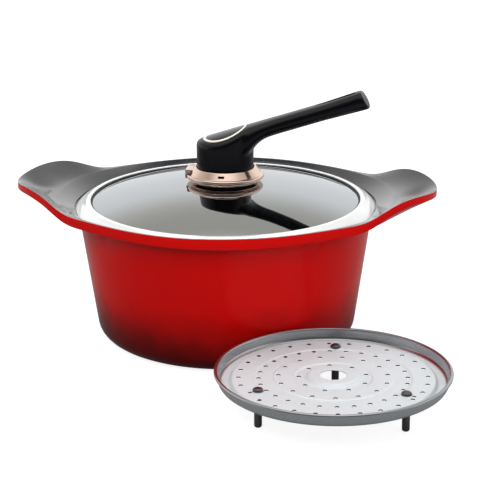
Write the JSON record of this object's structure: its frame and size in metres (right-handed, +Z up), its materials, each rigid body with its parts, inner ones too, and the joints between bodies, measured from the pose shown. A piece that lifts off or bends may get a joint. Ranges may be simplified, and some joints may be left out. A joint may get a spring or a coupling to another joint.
{
  "type": "stock pot",
  "caption": "Lidded cast stock pot with two scooped ear handles, a domed glass lid with a lever knob and turning steam collar, and a perforated steamer rack.",
  "frame": {"origin": "centre of the pot's base, on the surface that it stands on", "axes": "+Z up along the pot's axis; the two ears lie along +X and -X; the rack stands on the -Y side"},
  "size_m": [0.3699, 0.3951, 0.2108],
  "materials": {
    "pot_enamel": "gloss red enamel outside, satin dark grey non-stick lining inside",
    "lid_glass": "clear tempered glass",
    "black_silicone": "matte",
    "polished_steel": "mirror polished stainless steel",
    "rose_gold": "polished rose gold plating",
    "brass": "turned",
    "black_bakelite": "satin moulded bakelite",
    "gloss_black": "gloss",
    "brushed_steel": "satin stainless steel",
    "leg_steel": "dark satin"
  },
  "bodies": {
    "pot": {"pot_body": "pot_enamel"},
    "lid": {"lid_glass": "lid_glass", "lid_rim_seal": "black_silicone", "lid_rim": "polished_steel", "knob_base_gasket": "black_silicone", "collar_seat": "rose_gold", "collar_bush": "brass", "lever_knob": "black_bakelite", "inlay_trim_ring": "rose_gold", "inlay_cap": "gloss_black", "knob_insert": "brass", "inner_gasket": "black_silicone", "inner_washer": "brushed_steel", "knob_screw": "brushed_steel"},
    "vent_collar": {"vent_collar": "rose_gold"},
    "rack": {"rack_plate": "brushed_steel", "rack_leg_1": "leg_steel", "rack_leg_2": "leg_steel", "rack_leg_3": "leg_steel", "rack_leg_caps": "leg_steel"}
  },
  "joints": [
    {"name": "lid_lift", "type": "slide", "parent": "pot", "child": "lid", "axis": [0, 0, 1], "range_m": [0, 0.25]},
    {"name": "collar_turn", "type": "hinge", "parent": "lid", "child": "vent_collar", "pos_m": [0, 0, 0.14], "axis": [0, 0, 1], "range_deg": [0, 35]},
    {"name": "rack_lift", "type": "slide", "parent": "pot", "child": "rack", "axis": [0.2682, -0.4571, 0.848], "range_m": [0, 0.25]}
  ]
}
